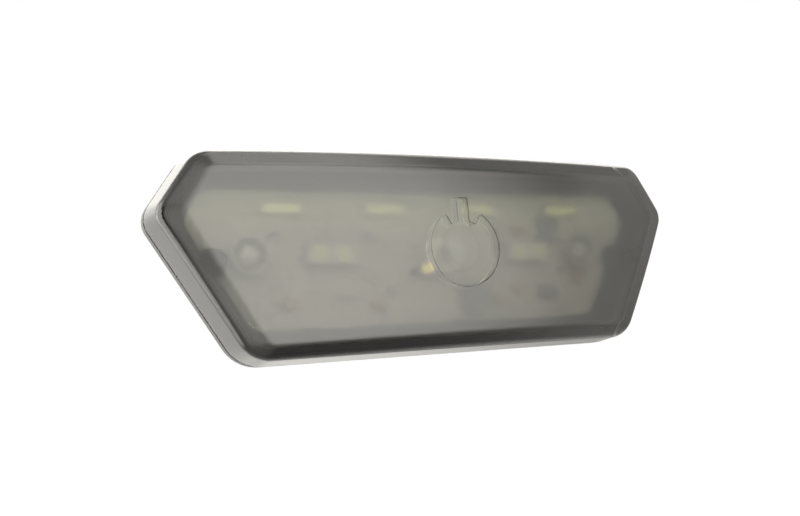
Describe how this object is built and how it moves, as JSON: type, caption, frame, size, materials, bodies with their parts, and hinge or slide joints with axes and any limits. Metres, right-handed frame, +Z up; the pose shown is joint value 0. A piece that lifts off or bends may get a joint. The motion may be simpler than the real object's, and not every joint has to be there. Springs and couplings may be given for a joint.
{
  "type": "helmet rear light",
  "caption": "Long six-sided smoke-tinted rear light for a bicycle helmet, with a press-to-switch lens button, lit board, snap-in back and covered charging port.",
  "frame": {"origin": "middle of the tub's flat back, where it rests on the helmet's recess floor", "axes": "+X along the light, to the right for someone who looks at the lens; +Y back into the helmet; +Z up"},
  "size_m": [0.0816, 0.0218, 0.028],
  "materials": {
    "smoked_lens": "polished smoke-tinted clear plastic",
    "smoked_button": "polished smoke-tinted clear plastic",
    "black_rubber": "matte",
    "clear_silicone": "clear",
    "housing_plastic": "fine spark-eroded texture",
    "screw_steel": "black oxide",
    "board_laminate": "pale solder mask",
    "led_white": "moulded LED body",
    "led_dome": "clear silicone dome",
    "led_phosphor": "phosphor fill",
    "light_pipe": "clear rod",
    "switch_black": "moulded",
    "spring_steel": "spring temper",
    "chip_epoxy": "moulded epoxy",
    "coil_ferrite": "ferrite",
    "ceramic": "ceramic",
    "socket_steel": "nickel plated",
    "cell_foil": "laminated foil pouch",
    "foam_pad": "adhesive foam",
    "lead_red": "insulated lead",
    "lead_black": "insulated lead"
  },
  "bodies": {
    "housing": {"lens_cover": "smoked_lens", "button_seal": "clear_silicone", "lens_gasket": "black_rubber", "rear_housing": "housing_plastic", "housing_screws": "screw_steel", "circuit_board": "board_laminate", "end_led_rings": "led_white", "end_led_domes": "led_dome", "main_led_bodies": "led_white", "main_led_windows": "led_phosphor", "bar_led_bodies": "led_white", "bar_led_strips": "led_phosphor", "indicator_lamp": "led_white", "indicator_light_pipe": "light_pipe", "switch_case": "switch_black", "switch_dome": "spring_steel", "controller_chip": "chip_epoxy", "charger_chip": "chip_epoxy", "power_coil": "coil_ferrite", "capacitors": "ceramic", "resistors": "chip_epoxy", "charge_socket_shell": "socket_steel", "charge_socket_tongue": "chip_epoxy", "battery_cell": "cell_foil", "battery_pad": "foam_pad", "battery_lead_red": "lead_red", "battery_lead_black": "lead_black"},
    "button": {"power_button": "smoked_button", "switch_plunger": "switch_black"},
    "port_cover": {"charge_port_cover": "black_rubber"}
  },
  "joints": [
    {"name": "button_press", "type": "slide", "parent": "housing", "child": "button", "axis": [0, 1, 0], "range_m": [0, 0.0003], "stiffness_N_per_m": 3000, "springref_m": -0.0002},
    {"name": "port_cover_hinge", "type": "hinge", "parent": "housing", "child": "port_cover", "pos_m": [0.009, -0.0044, -0.0109], "axis": [0, 1, 0], "range_deg": [0, 100]}
  ]
}
